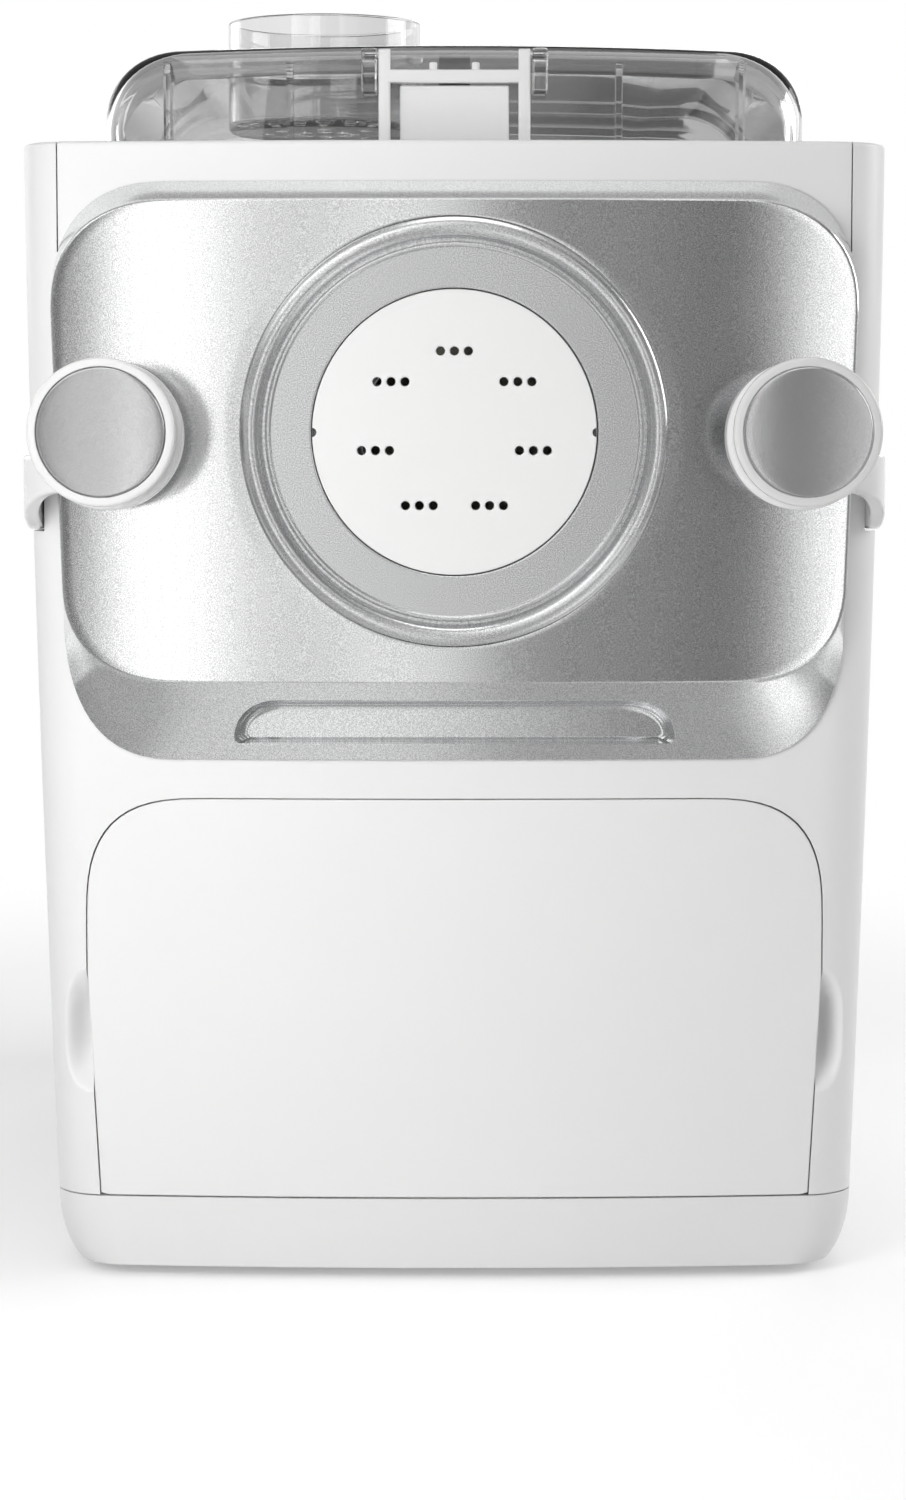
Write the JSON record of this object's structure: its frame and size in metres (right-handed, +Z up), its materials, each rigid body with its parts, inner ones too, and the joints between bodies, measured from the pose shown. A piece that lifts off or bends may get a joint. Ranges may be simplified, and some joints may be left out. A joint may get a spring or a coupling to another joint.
{
  "type": "electric pasta maker",
  "caption": "Countertop electric pasta maker with a clamped silver front panel and shaping disc, side clamp knobs, hinged clear lid with inlet, geared mixer drive and storage drawer.",
  "frame": {"origin": "on the table, under the middle of the object's box", "axes": "+Z up, -Y towards the user at the front panel, +X to the user's right"},
  "size_m": [0.234, 0.41, 0.35],
  "materials": {
    "shell_white": "satin moulded plastic",
    "base_white": "satin moulded plastic",
    "deck_white": "satin moulded plastic",
    "panel_silver": "fine-grained metallic silver paint",
    "ring_silver": "satin metallic silver",
    "food_white": "matt food-grade plastic",
    "clear_plastic": "clear moulded plastic",
    "latch_white": "gloss moulded plastic",
    "drawer_white": "satin moulded plastic",
    "arm_white": "gloss moulded plastic",
    "knob_white": "gloss moulded plastic",
    "cap_silver": "satin silver",
    "steel": "bright zinc-plated steel",
    "plate_steel": "zinc-plated sheet",
    "gear_nylon": "natural nylon",
    "bronze": "sintered bronze",
    "rubber": "black moulded rubber",
    "dark_plastic": "black plastic",
    "control_silver": "satin silver",
    "window_black": "gloss black window",
    "button_grey": "satin grey",
    "board_green": "green circuit board"
  },
  "bodies": {
    "root": {"base_pan": "base_white", "rubber_feet": "rubber", "base_screws": "steel", "outer_shell": "shell_white", "rear_cover": "shell_white", "rear_cover_screws": "steel", "top_deck": "deck_white", "latch_post": "deck_white", "chassis_plate": "gear_nylon", "front_panel": "panel_silver", "outlet_ring": "ring_silver", "shaping_disc": "food_white", "extrusion_tube": "food_white", "tube_gasket": "rubber", "mixing_chamber": "food_white", "shaft_seal": "rubber", "shaft_bearings": "bronze", "layshaft": "steel", "gearbox_front_plate": "plate_steel", "gearbox_rear_plate": "plate_steel", "gearbox_spacers": "steel", "motor_can": "plate_steel", "lid_hinge_pins": "steel", "drawer_runners": "gear_nylon", "arm_pins": "steel", "control_panel": "control_silver", "display_window": "window_black", "control_board": "board_green", "power_board": "board_green", "cable_gland": "shell_white"},
    "mixer": {"auger": "gear_nylon", "mixing_paddle": "food_white", "drive_shaft": "steel", "output_gear": "gear_nylon"},
    "lay_gear": {"lay_gear": "gear_nylon"},
    "motor_rotor": {"motor_shaft": "steel", "motor_pinion": "bronze", "motor_fan": "dark_plastic"},
    "lid": {"lid": "clear_plastic", "liquid_inlet": "clear_plastic", "lid_seal": "rubber", "interlock_tab": "dark_plastic", "latch_pins": "steel"},
    "latch": {"lid_latch": "latch_white"},
    "drawer": {"drawer_front": "drawer_white", "drawer_tray": "drawer_white"},
    "arm_left": {"arm_left": "arm_white"},
    "arm_right": {"arm_right": "arm_white"},
    "pad_left": {"clamp_pad_left": "rubber"},
    "pad_right": {"clamp_pad_right": "rubber"},
    "knob_left": {"spindle_left": "steel", "knob_left": "knob_white", "cap_left": "cap_silver"},
    "knob_right": {"spindle_right": "steel", "knob_right": "knob_white", "cap_right": "cap_silver"},
    "power_button": {"power_button": "button_grey"},
    "program_button": {"program_button": "button_grey"},
    "start_button": {"start_button": "button_grey"}
  },
  "joints": [
    {"name": "mixer_spin", "type": "hinge", "parent": "root", "child": "mixer", "pos_m": [0, 0.06, 0.2306], "axis": [0, 1, 0], "continuous": true},
    {"name": "lay_gear_spin", "type": "hinge", "parent": "root", "child": "lay_gear", "pos_m": [0, 0.09, 0.1711], "axis": [0, 1, 0], "continuous": true},
    {"name": "motor_spin", "type": "hinge", "parent": "root", "child": "motor_rotor", "pos_m": [0, 0.12, 0.1286], "axis": [0, 1, 0], "continuous": true},
    {"name": "lid_hinge", "type": "hinge", "parent": "root", "child": "lid", "pos_m": [0, 0.075, 0.3123], "axis": [-1, 0, 0], "range_deg": [0, 90]},
    {"name": "latch_swing", "type": "hinge", "parent": "lid", "child": "latch", "pos_m": [0, -0.133, 0.3332], "axis": [-1, 0, 0], "range_deg": [0, 60]},
    {"name": "drawer_slide", "type": "slide", "parent": "root", "child": "drawer", "axis": [0, -1, 0], "range_m": [0, 0.14]},
    {"name": "arm_left_swing", "type": "hinge", "parent": "root", "child": "arm_left", "pos_m": [-0.11242, -0.1, 0.2146], "axis": [0, 0, -1], "range_deg": [0, 90]},
    {"name": "screw_left_feed", "type": "slide", "parent": "arm_left", "child": "pad_left", "axis": [0, -1, 0], "range_m": [0, 0.0045]},
    {"name": "knob_left_turn", "type": "hinge", "parent": "pad_left", "child": "knob_left", "pos_m": [-0.0906, -0.19, 0.2306], "axis": [0, -1, 0], "range_deg": [0, 1080]},
    {"name": "arm_right_swing", "type": "hinge", "parent": "root", "child": "arm_right", "pos_m": [0.11242, -0.1, 0.2146], "axis": [0, 0, 1], "range_deg": [0, 90]},
    {"name": "screw_right_feed", "type": "slide", "parent": "arm_right", "child": "pad_right", "axis": [0, -1, 0], "range_m": [0, 0.0045]},
    {"name": "knob_right_turn", "type": "hinge", "parent": "pad_right", "child": "knob_right", "pos_m": [0.0906, -0.19, 0.2306], "axis": [0, -1, 0], "range_deg": [0, 1080]},
    {"name": "power_button_press", "type": "slide", "parent": "root", "child": "power_button", "axis": [0, 0, -1], "range_m": [0, 0.001], "stiffness_N_per_m": 300},
    {"name": "program_button_press", "type": "slide", "parent": "root", "child": "program_button", "axis": [0, 0, -1], "range_m": [0, 0.001], "stiffness_N_per_m": 300},
    {"name": "start_button_press", "type": "slide", "parent": "root", "child": "start_button", "axis": [0, 0, -1], "range_m": [0, 0.001], "stiffness_N_per_m": 300}
  ],
  "couplings": [
    {"joint": "lay_gear_spin", "follows": "mixer_spin", "ratio": -3},
    {"joint": "motor_spin", "follows": "mixer_spin", "ratio": 9},
    {"joint": "screw_left_feed", "follows": "knob_left_turn", "m_per_rad": 0.00023873},
    {"joint": "screw_right_feed", "follows": "knob_right_turn", "m_per_rad": 0.00023873}
  ]
}
